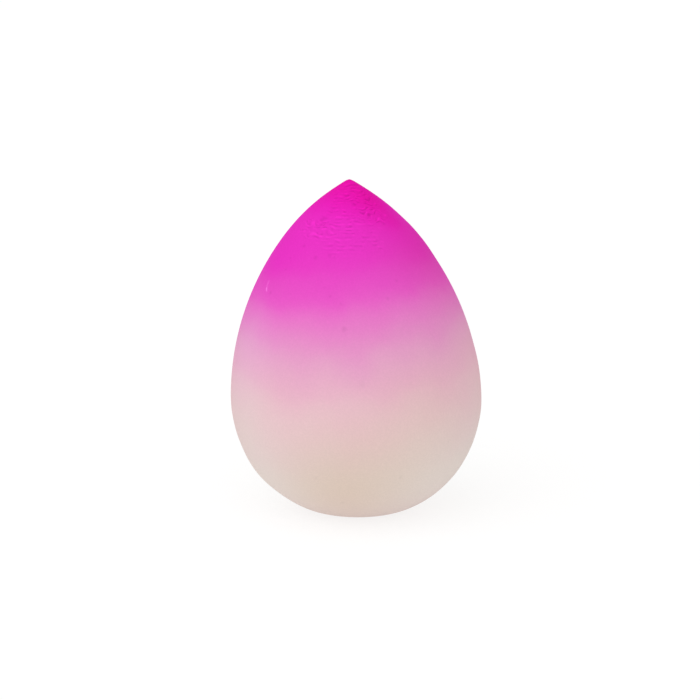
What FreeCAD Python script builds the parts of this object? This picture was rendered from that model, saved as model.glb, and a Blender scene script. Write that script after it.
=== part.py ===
# Makeup sponge: one teardrop of soft foam, standing on a small flat under its round end, tip up.
# Millimetres. Z points up, the flat lies on Z = 0 and the tip leans a little towards -X.
import FreeCAD, Part
import math
import os

# Sizes of the foam body, measured along the sponge's own axis
HEIGHT = 60.0            # from the flat to the tip
DIAMETER = 44.5          # across the widest part
WIDEST_HEIGHT = 20.2     # from the flat up to the widest part
FOOT_DIAMETER = 12.0     # the flat that it stands on
TIP_RADIUS = 0.4         # rounding of the tip
LEAN_ANGLE = 1.6         # degrees between the axis and the upright

ELLIPSE_WEIGHT = math.sqrt(0.5)   # middle weight that makes a three-point curve a true quarter ellipse
FULL_TURN = 360.0                 # degrees
UPRIGHT = FreeCAD.Vector(0, 0, 1)
LEAN_AXIS = FreeCAD.Vector(0, -1, 0)


def profile_point(radius, height):
    """Point of the half outline, which is drawn in the XZ plane beside the axis."""
    return FreeCAD.Vector(radius, 0, height)


def point_on_arc(centre, radius, angle):
    """Point at an angle from the +X side of an arc in the XZ plane."""
    return centre + FreeCAD.Vector(radius * math.cos(angle), 0, radius * math.sin(angle))


def round_end(widest, lowest):
    """Quarter ellipse from the axis out to the widest part."""
    corner = profile_point(widest.x, lowest.z)
    curve = Part.BezierCurve()
    curve.setPoles([lowest, corner, widest])
    curve.setWeight(2, ELLIPSE_WEIGHT)
    return curve.toShape()


def flank_and_tip(widest, tip):
    """Long arc that leaves the widest part upright, and the small arc it runs into at the tip."""
    tip_centre = tip - UPRIGHT * TIP_RADIUS
    rise = tip_centre.z - widest.z
    flank_radius = (widest.x ** 2 + rise ** 2 - TIP_RADIUS ** 2) / (2 * (widest.x - TIP_RADIUS))
    flank_centre = profile_point(widest.x - flank_radius, widest.z)
    meeting_angle = math.atan2(rise, flank_radius - widest.x)
    halfway_over_tip = (meeting_angle + math.pi / 2) / 2
    meeting = point_on_arc(tip_centre, TIP_RADIUS, meeting_angle)
    flank_middle = point_on_arc(flank_centre, flank_radius, meeting_angle / 2)
    tip_middle = point_on_arc(tip_centre, TIP_RADIUS, halfway_over_tip)
    flank = Part.Arc(widest, flank_middle, meeting).toShape()
    rounding = Part.Arc(meeting, tip_middle, tip).toShape()
    return [flank, rounding]


def teardrop():
    """Upright teardrop, turned from its half outline, before the flat is taken off the round end."""
    foot_share = FOOT_DIAMETER / DIAMETER
    bowl_depth = WIDEST_HEIGHT / math.sqrt(1 - foot_share ** 2)
    widest = profile_point(DIAMETER / 2, WIDEST_HEIGHT)
    lowest = profile_point(0, WIDEST_HEIGHT - bowl_depth)
    tip = profile_point(0, HEIGHT)
    axis_edge = Part.makeLine(tip, lowest)
    outline = [round_end(widest, lowest)] + flank_and_tip(widest, tip) + [axis_edge]
    half_section = Part.Face(Part.Wire(outline))
    return half_section.revolve(FreeCAD.Vector(), UPRIGHT, FULL_TURN)


def below_the_flat():
    """Block under Z = 0, wide and deep enough to hold all that the flat takes off."""
    corner = FreeCAD.Vector(-DIAMETER, -DIAMETER, -HEIGHT)
    return Part.makeBox(2 * DIAMETER, 2 * DIAMETER, HEIGHT, corner)


def foam_body():
    """Teardrop leant over about the middle of its round end, then cut flat where it stands."""
    leaning = teardrop()
    leaning.rotate(FreeCAD.Vector(0, 0, WIDEST_HEIGHT), LEAN_AXIS, LEAN_ANGLE)
    return leaning.cut(below_the_flat())


def main():
    os.makedirs("parts", exist_ok=True)
    foam_body().exportStep("parts/foam_body.step")


main()
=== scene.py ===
"""Teardrop makeup sponge of dip-dyed foam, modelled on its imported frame, on a white table."""
import math

import bpy
import numpy as np
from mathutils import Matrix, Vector, noise


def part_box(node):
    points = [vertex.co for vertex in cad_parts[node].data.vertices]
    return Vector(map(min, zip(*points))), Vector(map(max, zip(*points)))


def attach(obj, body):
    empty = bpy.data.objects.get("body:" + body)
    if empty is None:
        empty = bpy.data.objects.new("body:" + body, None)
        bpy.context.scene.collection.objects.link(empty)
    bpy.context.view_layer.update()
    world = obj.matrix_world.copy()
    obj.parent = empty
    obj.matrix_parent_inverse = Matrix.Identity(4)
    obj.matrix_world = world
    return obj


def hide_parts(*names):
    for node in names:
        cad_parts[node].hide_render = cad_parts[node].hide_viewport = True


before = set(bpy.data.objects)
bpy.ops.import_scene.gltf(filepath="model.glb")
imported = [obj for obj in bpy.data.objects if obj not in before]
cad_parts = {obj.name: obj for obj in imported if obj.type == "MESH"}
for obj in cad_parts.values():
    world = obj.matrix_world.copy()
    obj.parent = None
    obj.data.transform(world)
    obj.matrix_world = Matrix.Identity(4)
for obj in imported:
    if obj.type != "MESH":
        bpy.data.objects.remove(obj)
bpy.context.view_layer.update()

bl_info = {
    "name": "Makeup Sponge",
    "version": (1, 0, 0),
    "blender": (4, 5, 0),
    "location": "View3D > Sidebar > Makeup Sponge",
    "description": "Models a dip-dyed foam makeup sponge and the white table it stands on",
    "category": "Add Mesh",
}

FOAM_LOW, FOAM_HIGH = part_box("foam_body")
MM = 0.001
FOOT_GIVE = 0.45 * MM    # how much lower the soft sponge stands than the stiff solid


# Settings

def linear_colour(hex_code):
    """Turns an sRGB hex value such as EC1CBB into linear red, green and blue."""
    shares = [int(hex_code[i:i + 2], 16) / 255 for i in (0, 2, 4)]
    return [s / 12.92 if s <= 0.04045 else ((s + 0.055) / 1.055) ** 2.4 for s in shares]


def length(name, default, description):
    """Property for a size in metres."""
    return bpy.props.FloatProperty(
        name=name, description=description, default=default, subtype="DISTANCE", unit="LENGTH", precision=5)


def angle(name, degrees, description):
    """Property for an angle, given in degrees."""
    return bpy.props.FloatProperty(
        name=name, description=description, default=math.radians(degrees), subtype="ANGLE", unit="ROTATION")


def share(name, default, description):
    """Property for a plain number, such as a share or a light level."""
    return bpy.props.FloatProperty(name=name, description=description, default=default, min=0.0)


def colour(name, hex_code, description):
    """Property for a colour, given as an sRGB hex value."""
    return bpy.props.FloatVectorProperty(
        name=name, description=description, default=linear_colour(hex_code), subtype="COLOR", min=0, max=1)


class SpongeShape(bpy.types.PropertyGroup):
    """Sizes of the teardrop."""
    height: length("Height", FOAM_HIGH.z - FOOT_GIVE, "From the table to the tip, before grinding")
    diameter: length("Diameter", FOAM_HIGH.y - FOAM_LOW.y, "Across the widest part")
    widest_height: length("Widest height", 19.7 * MM, "From the table up to the widest part")
    foot_diameter: length("Foot diameter", 14.7 * MM, "Where a stiff round end would meet the table")
    foot_softness: length("Foot softness", 1.7 * MM, "Height over which the round end runs into the table")
    tip_radius: length("Tip radius", 0.2 * MM, "Rounding of the tip")
    tip_softness: length("Tip softness", 0.6 * MM, "How far below the tip the grinding reaches")
    tip_lean: length("Tip lean", 1.15 * MM, "How far the tip stands to the left of the widest part")
    foot_shift: length("Foot shift", 0.36 * MM, "How far the foot stands to the right of the widest part")
    shoulder: length("Shoulder", 0.24 * MM, "How far the flank swells out below the tip")


class SpongeSkin(bpy.types.PropertyGroup):
    """Sizes of the relief that cutting and grinding leave in the foam."""
    ripple_spacing: length("Ripple spacing", 0.78 * MM, "From one grinding ripple to the next")
    ripple_length: length("Ripple length", 0.8 * MM, "How far a ripple runs before it breaks off")
    ripple_wander: length("Ripple wander", 1.6 * MM, "Distance over which the rings stray from true circles")
    ripple_depth: length("Ripple depth", 0.12 * MM, "Height of the strongest grinding ripples")
    pore_spacing: length("Pore spacing", 4 * MM, "Between the few large pores that show")
    pore_radius: length("Pore radius", 0.4 * MM, "Half the width of a large pore")
    pore_depth: length("Pore depth", 0.035 * MM, "Depth of a large pore")
    open_depth: length("Open pore depth", 0.045 * MM, "Full depth of the few pores that stand wide open")
    nick_side: length("Nick side", -15.35 * MM, "How far the small cut lies to the right of the axis")
    nick_height: length("Nick height", 41.1 * MM, "From the table to the lower end of the cut")
    nick_length: length("Nick length", 1.85 * MM, "Length of the cut, which bends aside at the top")
    nick_bend: length("Nick bend", 0.5 * MM, "How far the top of the cut bends aside")
    nick_width: length("Nick width", 0.24 * MM, "Width of the lip along the cut, seen from the front")
    nick_lip: length("Nick lip", 0.1 * MM, "How far the lip stands out of the skin")
    cell_size: length("Cell size", 0.32 * MM, "Foam cells that give the skin its fine grain")


class SpongeDye(bpy.types.PropertyGroup):
    """Colours of the dye from the tip down to the undyed foam, and how it spread, with the painted shade,
    painted light and painted highlight laid over them.
    """
    tip: colour("Tip dye", "E80CA8", "Strongest dye, at the tip")
    full: colour("Full dye", "E928BF", "Full dye below the tip")
    upper: colour("Upper dye", "E643C2", "Full dye where it starts to lighten")
    middle: colour("Middle dye", "E668C5", "Where the dye starts to thin")
    faded: colour("Faded dye", "E399C5", "Thin dye in the middle of the sponge")
    blush: colour("Blush", "E5BAC6", "Last trace of dye")
    foam: colour("Undyed foam", "E2D3CE", "Pale cream of the bare foam")
    # Painted highlight: the raised lip of the cut is painted brighter, as if it were catching the light
    cut: colour("Cut foam", "FD78E4", "Bright lip of the small cut")
    # Painted shade: a darker, warmer tint of the bare foam at the lower front, where less light reaches it
    lower_front_shade: colour("Aged foam", "F8F0E7", "Tint that light and air give the bare foam at the front")
    # Painted shade: a redder, darker tint of the dye at the right of the tip, the side turned away from the
    # lamp
    soaked: colour("Soaked dye", "FBF8F0", "Tint where the dye soaked in deepest, at the right of the tip")
    warm: colour("Warm foam", "FDFCF7", "Tint where the foam is yellower, at the right of the front")
    # Painted light: a slightly bluish light on the left side, laid over the thin dye there
    cool: colour("Cool dye", "F3AEFF", "What the thin dye turns towards on the left, where it is bluer")
    left_light_share: share("Cool share", 0.1, "How far it turns that way")
    tilt: angle("Tilt", 4.5, "How far the dye line hangs lower on the left")
    cloud_size: length("Cloud size", 11 * MM, "Width of the clouds in the fading dye")
    cloud_spread: length("Cloud spread", 5 * MM, "How far the clouds carry the dye up or down")


class SpongeStage(bpy.types.PropertyGroup):
    """The white table, its soft light and the camera."""
    table_colour: colour("Table", "C8C8C8", "Matte white of the table without its own light")
    table_radius: length("Table radius", 4.0, "Half the width of the table")
    table_light: share("Table light", 0.45, "Light that the table gives off, as a light table does")
    table_glow: share("Table glow", 0.5, "How bright that light looks in the picture")
    table_white: share("Table white", 0.5, "How far the picture lifts the table and its shadow to white")
    sky_level: share("Sky level", 0.68, "Even white light from all round")
    sky_colour: colour("Sky colour", "FFFFFB", "Slightly warm white of the room")
    key_level: share("Key level", 0.34, "Light from the large soft lamp")
    key_colour: colour("Key colour", "F8F8FF", "Slightly cool white of the lamp")
    key_width: angle("Key width", 80, "How wide the soft lamp looks from the sponge")
    key_bearing: angle("Key bearing", -28, "Direction of the lamp, counted from the camera to the right")
    key_elevation: angle("Key elevation", 50, "Height of the lamp")
    camera_elevation: angle("Camera elevation", 12, "How steeply the camera looks down")
    camera_distance: length("Camera distance", 345 * MM, "From the camera to its aim")
    camera_lens: bpy.props.FloatProperty(
        name="Lens", description="Focal length on a 36 mm wide sensor", default=100, unit="CAMERA")
    aim_side: length("Aim side", -1.02 * MM, "How far to the right of the axis the camera aims")
    aim_height: length("Aim height", 28.92 * MM, "Where the camera aims, above the table")


class MakeupSponge(bpy.types.PropertyGroup):
    """All settings of the sponge and its stage."""
    shape: bpy.props.PointerProperty(type=SpongeShape)
    skin: bpy.props.PointerProperty(type=SpongeSkin)
    dye: bpy.props.PointerProperty(type=SpongeDye)
    stage: bpy.props.PointerProperty(type=SpongeStage)


# Helpers for shapes

def smooth_step(start, end, value):
    """0 before start, 1 after end, and a soft slope between them. Start may be the higher one."""
    along = np.clip((value - start) / (end - start), 0, 1)
    return along * along * (3 - 2 * along)


def deselect_all():
    """Leaves nothing selected, so that the next operator acts only on what it adds."""
    if bpy.context.object and bpy.context.object.mode != "OBJECT":
        bpy.ops.object.mode_set(mode="OBJECT")
    bpy.ops.object.select_all(action="DESELECT")


def read_points(mesh):
    """Places of a mesh's points, one row each."""
    flat = np.empty(len(mesh.vertices) * 3)
    mesh.vertices.foreach_get("co", flat)
    return flat.reshape(-1, 3)


def write_points(mesh, points):
    """Moves a mesh's points to new places."""
    mesh.vertices.foreach_set("co", np.ascontiguousarray(points).ravel())
    mesh.update()


# Foam body

CUBE_CUTS = (63, 1)       # cuts in each edge of the cube that the skin starts from, then in each new edge
OUTLINE_POINTS = 700      # points along each stretch of the outline
TIP_CLOSENESS = 10.0      # extra mesh points where the ripples are, as a multiple of those elsewhere
TIP_ZONE = (0.5, 0.72)    # shares of the height between which the mesh closes up
SHOULDER_RISE = 2.7       # above 1, the flank swells out nearer to the tip than to the widest part
LEAN_RISE = 1.35          # above 1, the tip leans more than the flank below it
SMOOTH_FOOT = 3 * MM      # height over which the relief comes up from nothing, so that the foot stands flat
PATCH_CORE = 0.3          # share of a patch's reach over which it keeps its full strength
PORE_FLOOR = 0.2          # share of a pore's radius that is its flat floor
LEAST_NEARNESS = 0.01         # least sum of nearness to divide by, where no patch is near
RIPPLE_BREAKS = (-0.2, 0.4)   # noise levels between which a ripple comes up from nothing
NICK_FOOT = (-0.08, 0.02)     # shares of the cut's length between which its lip comes up at the lower end
NICK_TOP = (1.0, 0.8)         # shares of its length between which the lip comes up at the upper end
NICK_EDGE = (0.7, 0.2)        # shares of its width, out from the middle, between which the lip comes up
NICK_BRIGHT = (0.2, 0.36)     # shares of the cut's length between which its lower part, raised highest and with the brightest painted highlight, ends
NICK_FAINT = 0.3              # how much of the lip is left above that
# Places on the skin, in mm, with their reach, where the hand-ground form swells out (+) or falls short (-)
SWELLS = (
    ((22, -2, 23), 9, 0.14),
    ((-20, -2, 14), 8, -0.14),
    ((20, -2, 13), 8, -0.1),
    ((-17.5, -3.7, 8), 6, 0.1),
    ((12.5, -6, 3), 5, 0.05),
    ((11.3, -1, 49.5), 6, 0.1),
)
# Places on the skin, in mm, where grinding ripples show, with their reach, how many ripples they stray,
# and their share of the full depth
RIPPLE_PATCHES = (
    ((-0.7, -2.6, 57.9), 2.8, 0.8, 0.75),
    ((-1.6, -4.0, 57.2), 3.6, 0.5, 0.75),
    ((0.8, -4.3, 56.6), 3.6, 1.6, 1.0),
    ((2.6, -6.3, 54.5), 4.4, 2.2, 0.9),
    ((-2.8, -6.6, 54.8), 3.0, 0.4, 0.7),
    ((-8.0, -6.8, 52.0), 3.4, 2.2, 0.7),
    ((-5.4, -8.6, 52.0), 3.8, 0.9, 0.8),
    ((-1.1, -9.1, 52.7), 3.6, 0.4, 0.7),
    ((1.7, -9.8, 51.6), 3.0, 0.5, 0.5),
    ((-2.8, -11.3, 50.0), 4.0, 0.4, 0.5),
    ((0.0, -11.2, 50.2), 3.2, 0.4, 0.5),
    ((3.5, -11.0, 49.7), 2.0, 0.4, 0.6),
    ((4.0, 9.0, 52.0), 5.0, 1.6, 0.75),
    ((-1.5, 6.5, 55.0), 4.0, 0.6, 0.75),
    ((-6.5, 8.5, 51.0), 4.4, 0.9, 0.75),
    ((6.5, 5.5, 52.0), 3.8, 0.7, 0.75),
)
# Places on the skin, in mm, where a large pore stands open, with its reach and its share of the full depth
OPEN_PORES = (
    ((-6.9, -11.9, 47.5), 0.55, 1.0),
    ((-4.5, -12.5, 48.0), 0.55, 1.0),
    ((-8.9, -9.0, 49.1), 0.5, 1.0),
    ((-2.5, -17.4, 40.5), 0.42, 0.6),
    ((-2.0, -19.2, 36.6), 0.75, 0.9),
    ((-4.4, -16.6, 41.7), 0.48, 1.0),
    ((5.4, -16.2, 41.3), 0.48, 1.0),
    ((1.0, -21.6, 27.4), 0.6, 0.4),
    ((-14.8, -9.7, 41.1), 0.6, 0.8),
)


def soft_floor(heights, softness):
    """Heights that run softly into zero, over a band that reaches the softness above and below it."""
    eased = np.maximum(heights + softness, 0) ** 2 / (4 * softness)
    return np.where(heights < softness, eased, heights)


def teardrop_outline(shape):
    """Radius and height along the skin, from the tip down to the middle of the foot."""
    radius = shape.diameter / 2
    tip_centre = shape.height - shape.tip_radius
    rise = tip_centre - shape.widest_height
    flank_radius = (radius ** 2 + rise ** 2 - shape.tip_radius ** 2) / (2 * (radius - shape.tip_radius))
    meeting = math.atan2(rise, flank_radius - radius)
    bowl_depth = shape.widest_height / math.sqrt(1 - (shape.foot_diameter / shape.diameter) ** 2)
    over_tip = np.linspace(math.pi / 2, meeting, OUTLINE_POINTS)
    down_flank = np.linspace(meeting, 0, OUTLINE_POINTS)
    swell = shape.shoulder * np.sin(math.pi * (down_flank / meeting) ** SHOULDER_RISE) ** 2
    under_bowl = np.linspace(0, -math.pi / 2, OUTLINE_POINTS)
    radii = np.concatenate([
        shape.tip_radius * np.cos(over_tip),
        radius - flank_radius + (flank_radius + swell) * np.cos(down_flank),
        radius * np.cos(under_bowl),
    ])
    heights = np.concatenate([
        tip_centre + shape.tip_radius * np.sin(over_tip),
        shape.widest_height + (flank_radius + swell) * np.sin(down_flank),
        shape.widest_height + bowl_depth * np.sin(under_bowl),
    ])
    # The wheel grinds the point off, and foam gives a little where it stands, so no edge is left at the foot
    ground_off = shape.height - soft_floor(shape.height - heights, shape.tip_softness)
    pressed = soft_floor(ground_off, shape.foot_softness)
    return radii, pressed - pressed.min()


def teardrop_points(cube_points, shape):
    """Spreads the points of a cube's skin over the teardrop, evenly but closer together near the tip."""
    radii, heights = teardrop_outline(shape)
    steps = np.hypot(np.diff(radii), np.diff(heights))
    middles = (heights[1:] + heights[:-1]) / 2
    closeness = 1 + TIP_CLOSENESS * smooth_step(*TIP_ZONE, middles / shape.height)
    skin = np.append(0, np.cumsum(steps * (radii[1:] + radii[:-1]) * closeness))
    outline_angles = np.arccos(1 - 2 * skin / skin[-1])
    ball = np.tan(cube_points * math.pi / 4)
    ball /= np.linalg.norm(ball, axis=1, keepdims=True)
    angles = np.arccos(np.clip(ball[:, 2], -1, 1))
    bearings = np.arctan2(ball[:, 1], ball[:, 0])
    radius = np.interp(angles, outline_angles, radii)
    height = np.interp(angles, outline_angles, heights)
    above = np.maximum(height - shape.widest_height, 0) / (shape.height - shape.widest_height)
    below = np.maximum(shape.widest_height - height, 0) / shape.widest_height
    side = shape.foot_shift * below - shape.tip_lean * above ** LEAN_RISE
    return np.column_stack([radius * np.cos(bearings) + side, radius * np.sin(bearings), height])


def nearness(points, centre, reach):
    """1 at a place on the skin, falling softly to 0 at its reach. The place and reach are in mm."""
    return smooth_step(reach, PATCH_CORE * reach, np.linalg.norm(points / MM - centre, axis=1))


def broad_swells(points):
    """Slow swells and hollows of a form that was ground by hand."""
    return sum(swell * MM * nearness(points, centre, reach) for centre, reach, swell in SWELLS)


def open_pores(points):
    """Depth of the few pores that stand wide open, as a share of the full depth."""
    return np.max([depth * nearness(points, centre, reach) for centre, reach, depth in OPEN_PORES], axis=0)


def ground_patches(points):
    """Share of the full depth that ripples have at each point, and how far they stray there."""
    centres, reaches, strays, depths = zip(*RIPPLE_PATCHES)
    near = np.array([nearness(points, centre, reach) for centre, reach in zip(centres, reaches)])
    ground = (near * np.array(depths)[:, None]).max(axis=0)
    return ground, np.array(strays) @ near / np.maximum(near.sum(axis=0), LEAST_NEARNESS)


def tip_ripples(point, tip, stray, skin):
    """Short broken ridges that the grinding wheel leaves in rings round the tip."""
    distance = (point - tip).length
    ring = distance / skin.ripple_spacing + stray * noise.noise(point / skin.ripple_wander)
    from_above = point.xy / skin.ripple_length
    breaks = smooth_step(*RIPPLE_BREAKS, noise.noise((*from_above, ring)))
    return skin.ripple_depth * math.sin(2 * math.pi * ring) * breaks


def scattered_pores(point, skin):
    """Depth of the few open pores that chance leaves in the skin."""
    nearest = noise.voronoi(point / skin.pore_spacing)[0][0] * skin.pore_spacing
    return skin.pore_depth * smooth_step(skin.pore_radius, PORE_FLOOR * skin.pore_radius, nearest)


def small_nick(points, skin):
    """1 along the lip of a small cut in the front skin, which fades as it bends aside at the top. It raises
    the lip and places the lip's painted highlight.
    """
    along = (points[:, 2] - skin.nick_height) / skin.nick_length
    middle = skin.nick_side + skin.nick_bend * np.maximum(along, 0) ** 2
    across = np.abs(points[:, 0] - middle) / skin.nick_width
    ends = smooth_step(*NICK_FOOT, along) * smooth_step(*NICK_TOP, along)
    faint_top = 1 - (1 - NICK_FAINT) * smooth_step(*NICK_BRIGHT, along)
    return smooth_step(*NICK_EDGE, across) * ends * faint_top * (points[:, 1] < 0)


def grind_skin(mesh, skin):
    """Gives the smooth teardrop its relief, and keeps the marks for the material, which paints shade into
    their grooves and pores and light onto their ridges.
    """
    points = read_points(mesh)
    normals = np.array([normal.vector for normal in mesh.vertex_normals])
    tip = Vector(points[points[:, 2].argmax()])
    marks = -skin.open_depth * open_pores(points)
    ground, strays = ground_patches(points)
    for row, place in enumerate(points):
        point = Vector(place)
        marks[row] -= scattered_pores(point, skin)
        if ground[row] > 0:
            marks[row] += ground[row] * tip_ripples(point, tip, strays[row], skin)
    nick = small_nick(points, skin)
    off_the_table = smooth_step(0, SMOOTH_FOOT, points[:, 2])
    relief = (broad_swells(points) + marks + nick * skin.nick_lip) * off_the_table
    write_points(mesh, points + normals * relief[:, None])
    mesh.attributes.new("relief", "FLOAT", "POINT").data.foreach_set("value", marks / MM)
    mesh.attributes.new("nick", "FLOAT", "POINT").data.foreach_set("value", nick)


class MAKEUP_SPONGE_OT_foam_body(bpy.types.Operator):
    """Model the foam teardrop with its grinding marks and dye"""
    bl_idname = "makeup_sponge.foam_body"
    bl_label = "Foam Body"
    bl_options = {"REGISTER", "UNDO"}

    def execute(self, context):
        settings = context.scene.makeup_sponge
        deselect_all()
        bpy.ops.mesh.primitive_cube_add(size=2)
        body = context.object
        body.name = "sponge_foam"
        body.data.name = "sponge_foam"
        bpy.ops.object.mode_set(mode="EDIT")
        bpy.ops.mesh.select_all(action="SELECT")
        for cuts in CUBE_CUTS:
            bpy.ops.mesh.subdivide(number_cuts=cuts)
        bpy.ops.object.mode_set(mode="OBJECT")
        write_points(body.data, teardrop_points(read_points(body.data), settings.shape))
        grind_skin(body.data, settings.skin)
        bpy.ops.object.shade_smooth()
        body.data.materials.append(dip_dyed_foam(settings))
        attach(body, "root")
        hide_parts("foam_body")
        return {"FINISHED"}


# Materials

def add_node(tree, kind, inputs=None, **settings):
    """Adds a node, sets its options, and gives each named input a value or a link from another node."""
    node = tree.nodes.new(kind)
    for option, value in settings.items():
        setattr(node, option, value)
    for socket, source in (inputs or {}).items():
        if isinstance(source, bpy.types.NodeSocket):
            tree.links.new(source, node.inputs[socket])
        else:
            node.inputs[socket].default_value = source
    return node


def new_material(name):
    """Empty node material with its output node."""
    material = bpy.data.materials.new(name)
    material.use_nodes = True
    material.node_tree.nodes.clear()
    return material, material.node_tree, add_node(material.node_tree, "ShaderNodeOutputMaterial")


def opaque(rgb):
    """Colour with full alpha, as colour sockets want it."""
    return (*rgb, 1.0)


# Share of the height at which the dye reaches each of its colours
DYE_STOPS = (
    ("foam", 0.2), ("blush", 0.4), ("faded", 0.54), ("middle", 0.667),
    ("upper", 0.77), ("full", 0.9), ("tip", 1.0),
)
# Places on the skin, in mm, where the dye stopped higher up (-) or ran further down (+), with reach and run
DYE_RUNS = (
    ((-8, -14, 41), 10, 1.4),
    ((11, -13, 36), 10, -2.0),
    ((21, -5, 31), 13, -2.4),
    ((-19, -8, 25), 17, -5.0),
    ((-19, -7, 38), 9, -0.7),
    ((-14, -6, 47), 8, 1.8),
    ((3, -3, 57), 5, 2.5),
    ((6, -6, 53.5), 6, 2.2),
    ((12, -5, 51), 9, 2.6),
    ((-6, -6, 53), 8, -1.2),
    ((0, -21, 29.2), 5.5, 1.6),
    ((14, -14.5, 33.2), 5, 1.3),
    ((12, -18, 26.5), 8, -1.0),
)
# Middle and reach, in mm, of each tinted patch: painted shade at the lower front and at the right of the
# tip, a yellower tint at the right of the front, and painted bluish light on the left
LOWER_FRONT_SHADE_PATCH = ((-2, -18, 10), 17)
TIP_SHADE_PATCH = ((13, -5, 50), 17)
WARM_PATCH = ((10.5, -19.5, 18.5), 15)
LEFT_LIGHT_PATCH = ((-19.5, -9, 30), 14)
GROOVE_PAINTED_SHADE = 2.1    # share by which painted shade darkens a groove or pore, and painted light lightens a ridge, for each mm of its depth
CELL_PAINTED_SHADE = 0.06    # share by which painted shade makes the hollow middle of a foam cell darker than its rim
GRAIN_DEPTH = 0.1     # depth of a foam cell, as a share of its width


def soft_patch(tree, place, centre, reach, strength=1.0):
    """Full strength at a centre on the skin, falling softly to 0 at its reach. Both are in mm."""
    distance = add_node(tree, "ShaderNodeVectorMath", {
        0: place, 1: Vector(centre) * MM}, operation="DISTANCE").outputs["Value"]
    return add_node(tree, "ShaderNodeMapRange", {
        "Value": distance, "From Max": reach * MM, "To Min": strength, "To Max": 0.0},
        interpolation_type="SMOOTHSTEP").outputs["Result"]


def blended(tree, amount, under, over, blend="MIX"):
    """Colour with another one laid over it, by an amount from 0 to 1."""
    return add_node(tree, "ShaderNodeMix", {
        0: amount, 6: under, 7: opaque(over)}, data_type="RGBA", blend_type=blend).outputs[2]


def dye_share(tree, place, dye, height):
    """Share of the height at which a place lies for the dye, whose line is tilted, clouded and runny."""
    clouds = add_node(tree, "ShaderNodeTexNoise", {
        "Vector": place, "Scale": 1 / dye.cloud_size, "Detail": 3, "Roughness": 0.5}).outputs["Fac"]
    carried = add_node(tree, "ShaderNodeMath", {
        0: clouds, 1: dye.cloud_spread, 2: -0.5 * dye.cloud_spread}, operation="MULTIPLY_ADD").outputs[0]
    straight = add_node(tree, "ShaderNodeVectorMath", {
        0: place, 1: (-math.sin(dye.tilt), 0, math.cos(dye.tilt))}, operation="DOT_PRODUCT").outputs["Value"]
    line = add_node(tree, "ShaderNodeMath", {0: straight, 1: carried}, operation="ADD").outputs[0]
    for centre, reach, run in DYE_RUNS:
        patch = soft_patch(tree, place, centre, reach, run * MM)
        line = add_node(tree, "ShaderNodeMath", {0: line, 1: patch}, operation="ADD").outputs[0]
    return add_node(tree, "ShaderNodeMath", {0: line, 1: height}, operation="DIVIDE").outputs[0]


def dye_colours(tree, share_of_height, dye):
    """Colours of the dye from the bare foam up to the tip."""
    ramp = add_node(tree, "ShaderNodeValToRGB", {"Fac": share_of_height})
    ramp.color_ramp.interpolation = "CARDINAL"
    elements = ramp.color_ramp.elements
    elements.remove(elements[1])
    for row, (name, position) in enumerate(DYE_STOPS):
        element = elements[0] if row == 0 else elements.new(position)
        element.position = position
        element.color = opaque(getattr(dye, name))
    return ramp.outputs["Color"]


def patch_tints(tree, place, under, dye):
    """Colour with the tinted patches: painted shade at the lower front and at the right of the tip, a
    yellower tint at the right of the front, and painted bluish light on the left.
    """
    lower_front_shade = blended(tree, soft_patch(tree, place, *LOWER_FRONT_SHADE_PATCH), under, dye.lower_front_shade, "MULTIPLY")
    soaked = blended(tree, soft_patch(tree, place, *TIP_SHADE_PATCH), lower_front_shade, dye.soaked, "MULTIPLY")
    warm = blended(tree, soft_patch(tree, place, *WARM_PATCH), soaked, dye.warm, "MULTIPLY")
    return blended(tree, soft_patch(tree, place, *LEFT_LIGHT_PATCH, dye.left_light_share), warm, dye.cool)


def relief_painted_shade(tree, under, grain):
    """Colour with painted shade in the grooves, pores and hollow foam cells, and painted light on the
    ridges.
    """
    relief = add_node(tree, "ShaderNodeAttribute", attribute_name="relief").outputs["Fac"]
    grooved = add_node(tree, "ShaderNodeMath", {
        0: relief, 1: GROOVE_PAINTED_SHADE, 2: 1 - 0.5 * CELL_PAINTED_SHADE}, operation="MULTIPLY_ADD").outputs[0]
    shade = add_node(tree, "ShaderNodeMath", {
        0: grain, 1: CELL_PAINTED_SHADE, 2: grooved}, operation="MULTIPLY_ADD").outputs[0]
    return add_node(tree, "ShaderNodeVectorMath", {0: under, "Scale": shade}, operation="SCALE").outputs[0]


# Dip-dyed open-cell polyurethane foam: dye soaks in from the tip and fades out in soft clouds,
# and the cut cells scatter all light, which gives a chalky skin without any gloss. The colour also
# carries painted shade and light: in grooves, pores and cells, at the lower front and right of the tip,
# on the left side and on the cut's lip.
def dip_dyed_foam(settings):
    dye, skin = settings.dye, settings.skin
    material, tree, output = new_material("dip-dyed polyurethane foam")
    place = add_node(tree, "ShaderNodeTexCoord").outputs["Object"]
    dyed = dye_colours(tree, dye_share(tree, place, dye, settings.shape.height), dye)
    nick = add_node(tree, "ShaderNodeAttribute", attribute_name="nick").outputs["Fac"]
    # Painted highlight along the raised lip of the cut
    cut = blended(tree, nick, patch_tints(tree, place, dyed, dye), dye.cut)
    # Real cells are about half as wide, which is too fine to show, so the grain is drawn coarser
    grain = add_node(tree, "ShaderNodeTexVoronoi", {
        "Vector": place, "Scale": 1 / skin.cell_size}).outputs["Distance"]
    bump = add_node(tree, "ShaderNodeBump", {
        "Height": grain, "Strength": 0.35, "Distance": GRAIN_DEPTH * skin.cell_size}).outputs["Normal"]
    surface = add_node(tree, "ShaderNodeBsdfPrincipled", {
        "Base Color": relief_painted_shade(tree, cut, grain), "Normal": bump,
        "Roughness": 0.95, "Specular IOR Level": 0.05})
    tree.links.new(surface.outputs["BSDF"], output.inputs["Surface"])
    return material


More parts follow.
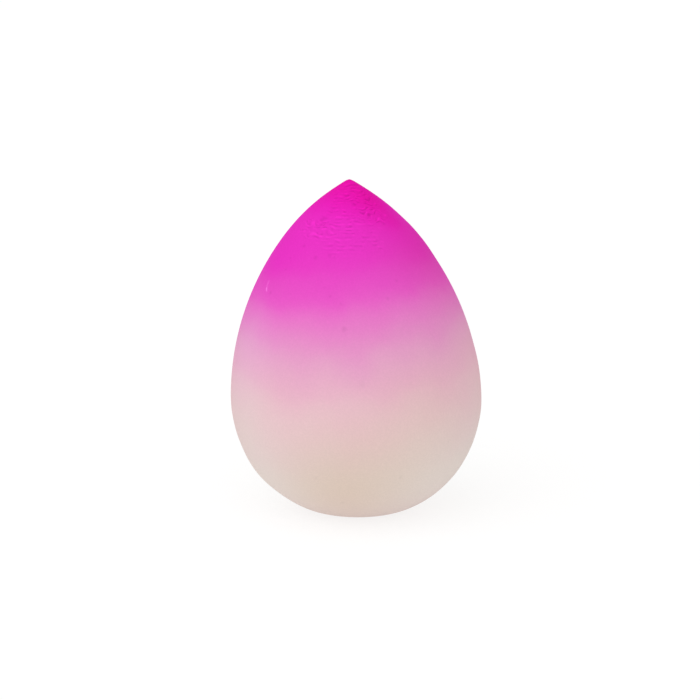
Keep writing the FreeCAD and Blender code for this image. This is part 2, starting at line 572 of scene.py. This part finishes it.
def seen_directly(tree):
    """1 for what the camera sees, directly, mirrored or through glass, and 0 for light on its way."""
    rays = add_node(tree, "ShaderNodeLightPath").outputs
    mirrored = add_node(tree, "ShaderNodeMath", {
        0: rays["Is Camera Ray"], 1: rays["Is Glossy Ray"]}, operation="MAXIMUM").outputs[0]
    return add_node(tree, "ShaderNodeMath", {
        0: mirrored, 1: rays["Is Transmission Ray"]}, operation="MAXIMUM").outputs[0]


# White acrylic light table: plain and matte, lit from inside, so that shadows on it stay pale.
def white_acrylic(stage):
    material, tree, output = new_material("white acrylic")
    seen = seen_directly(tree)
    glow = add_node(tree, "ShaderNodeMapRange", {
        "Value": seen, "To Min": stage.table_light, "To Max": stage.table_glow}).outputs["Result"]
    acrylic = add_node(tree, "ShaderNodeBsdfPrincipled", {
        "Base Color": opaque(stage.table_colour), "Roughness": 0.9, "Specular IOR Level": 0.0,
        "Emission Color": opaque((1, 1, 1)), "Emission Strength": glow}).outputs["BSDF"]
    paper_white = add_node(tree, "ShaderNodeEmission", {"Strength": 1.0}).outputs["Emission"]
    lift = add_node(tree, "ShaderNodeMath", {
        0: seen, 1: stage.table_white}, operation="MULTIPLY").outputs[0]
    surface = add_node(tree, "ShaderNodeMixShader", {0: lift, 1: acrylic, 2: paper_white})
    tree.links.new(surface.outputs["Shader"], output.inputs["Surface"])
    return material


# Stage

def direction(bearing, elevation):
    """Unit vector towards a bearing, counted from the camera's side to the right, and an elevation."""
    level = math.cos(elevation)
    return Vector((level * math.sin(bearing), -level * math.cos(bearing), math.sin(elevation)))


def add_table(stage):
    """Round white table under the sponge."""
    deselect_all()
    bpy.ops.mesh.primitive_circle_add(vertices=128, radius=stage.table_radius, fill_type="NGON")
    table = bpy.context.object
    table.name = "table"
    table.data.materials.append(white_acrylic(stage))


def add_key_lamp(stage):
    """Large soft lamp above and to the left of the camera, far enough off to light the table evenly."""
    away = direction(stage.key_bearing, stage.key_elevation)
    bpy.ops.object.light_add(type="SUN", rotation=away.to_track_quat("Z", "Y").to_euler())
    lamp = bpy.context.object
    lamp.name = "key_lamp"
    lamp.data.angle = stage.key_width
    lamp.data.color = stage.key_colour
    # A lamp of this strength gives a white surface that faces it the wanted level
    lamp.data.energy = stage.key_level * math.pi


def add_sky(stage):
    """Even white light from all round, and a white background behind the table."""
    world = bpy.data.worlds.new("white studio")
    bpy.context.scene.world = world
    world.use_nodes = True
    tree = world.node_tree
    tree.nodes.clear()
    light = [channel * stage.sky_level for channel in stage.sky_colour]
    shown = add_node(tree, "ShaderNodeMix", {
        0: seen_directly(tree), 6: opaque(light), 7: opaque((1, 1, 1))}, data_type="RGBA").outputs[2]
    background = add_node(tree, "ShaderNodeBackground", {"Color": shown}).outputs["Background"]
    add_node(tree, "ShaderNodeOutputWorld", {"Surface": background})


def add_camera(stage):
    """Long lens at the photograph's angle."""
    aim = Vector((stage.aim_side, 0, stage.aim_height))
    away = direction(0, stage.camera_elevation)
    bpy.ops.object.camera_add(
        location=aim + away * stage.camera_distance, rotation=away.to_track_quat("Z", "Y").to_euler())
    camera = bpy.context.object
    camera.name = "camera"
    camera.data.lens = stage.camera_lens
    camera.data.clip_start = 10 * MM
    bpy.context.scene.camera = camera


class MAKEUP_SPONGE_OT_stage(bpy.types.Operator):
    """Set up the white table, the soft light and the camera"""
    bl_idname = "makeup_sponge.stage"
    bl_label = "Stage"
    bl_options = {"REGISTER", "UNDO"}

    def execute(self, context):
        settings = context.scene.makeup_sponge
        add_table(settings.stage)
        add_key_lamp(settings.stage)
        add_sky(settings.stage)
        add_camera(settings.stage)
        context.scene.view_settings.view_transform = "Standard"
        return {"FINISHED"}


# Panel and registration

class MAKEUP_SPONGE_PT_panel(bpy.types.Panel):
    """Lists the sponge's settings and its operators"""
    bl_idname = "MAKEUP_SPONGE_PT_panel"
    bl_label = "Makeup Sponge"
    bl_space_type = "VIEW_3D"
    bl_region_type = "UI"
    bl_category = "Makeup Sponge"

    def draw(self, context):
        settings = context.scene.makeup_sponge
        for group in (settings.shape, settings.skin, settings.dye, settings.stage):
            box = self.layout.box()
            for name in group.bl_rna.properties.keys():
                if name not in ("rna_type", "name"):
                    box.prop(group, name)
        for operator in (MAKEUP_SPONGE_OT_foam_body, MAKEUP_SPONGE_OT_stage):
            self.layout.operator(operator.bl_idname)


CLASSES = (
    SpongeShape, SpongeSkin, SpongeDye, SpongeStage, MakeupSponge,
    MAKEUP_SPONGE_OT_foam_body, MAKEUP_SPONGE_OT_stage, MAKEUP_SPONGE_PT_panel,
)


def register():
    for cls in CLASSES:
        bpy.utils.register_class(cls)
    bpy.types.Scene.makeup_sponge = bpy.props.PointerProperty(type=MakeupSponge)


def unregister():
    del bpy.types.Scene.makeup_sponge
    for cls in reversed(CLASSES):
        bpy.utils.unregister_class(cls)


def main():
    register()
    bpy.ops.makeup_sponge.foam_body()
    bpy.ops.makeup_sponge.stage()


if __name__ == "__main__":
    main()
